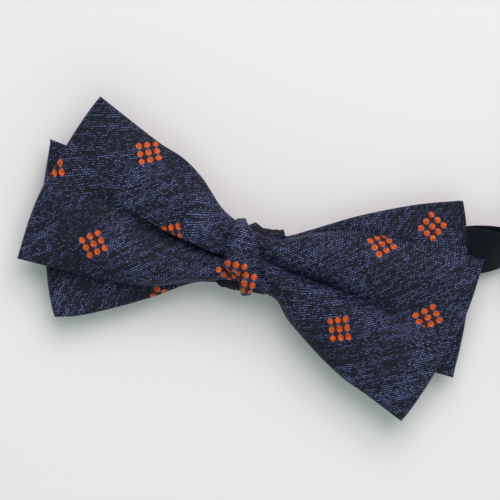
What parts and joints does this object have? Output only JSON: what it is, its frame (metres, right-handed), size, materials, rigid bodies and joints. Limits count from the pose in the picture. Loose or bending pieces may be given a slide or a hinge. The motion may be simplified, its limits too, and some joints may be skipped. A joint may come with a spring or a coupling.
{
  "type": "bow tie",
  "caption": "Ready-tied bow tie: two crossed interlined cloth layers in a leaning padded knot, on a folded neckband with hook, eye and slide adjuster.",
  "frame": {"origin": "on the table under the middle of the bow, on the underside of the neckband's lower run", "axes": "+X along the bow, +Y the bow's upper side when worn, +Z towards the front of the bow"},
  "size_m": [0.1937, 0.0987, 0.017],
  "materials": {
    "bow_cloth": "dark navy melange jacquard with small orange dot motifs",
    "interlining": "undyed brushed wool and cotton interlining",
    "wadding": "soft polyester wadding",
    "thread": "twisted navy sewing thread",
    "label": "blank woven satin label",
    "nickel": "satin nickel plate"
  },
  "bodies": {
    "neckband": {"neckband_cloth": "bow_cloth", "neckband_interlining": "interlining", "eye_fold_stitches": "thread", "size_label": "label", "label_stitches": "thread"},
    "bow": {"front_bow_cloth": "bow_cloth", "front_bow_interlining": "interlining", "back_bow_cloth": "bow_cloth", "back_bow_interlining": "interlining", "knot_wrap": "bow_cloth", "knot_wadding": "wadding", "knot_seam_stitches": "thread", "centre_whipping": "thread", "keeper_loop": "bow_cloth", "keeper_stitches": "thread"},
    "slide": {"adjuster_slide": "nickel", "strap_tail": "bow_cloth", "tail_stitches": "thread"},
    "hook": {"hook": "nickel"},
    "eye": {"eye": "nickel"}
  },
  "joints": [
    {"name": "bow_travel", "type": "slide", "parent": "neckband", "child": "bow", "axis": [0.9703, 0.2419, 0], "range_m": [-0.01, 0]},
    {"name": "slide_travel", "type": "slide", "parent": "neckband", "child": "slide", "axis": [1, 0, 0], "range_m": [-0.003, 0.01], "deforming": ["strap_tail"]},
    {"name": "hook_swivel", "type": "hinge", "parent": "neckband", "child": "hook", "pos_m": [0.1305, 0.042, 0.0085], "axis": [0, 0, 1], "range_deg": [-4, 4]},
    {"name": "eye_swivel", "type": "hinge", "parent": "neckband", "child": "eye", "pos_m": [0.1305, 0.061, 0.0085], "axis": [0, 0, 1], "range_deg": [-4, 4]}
  ]
}
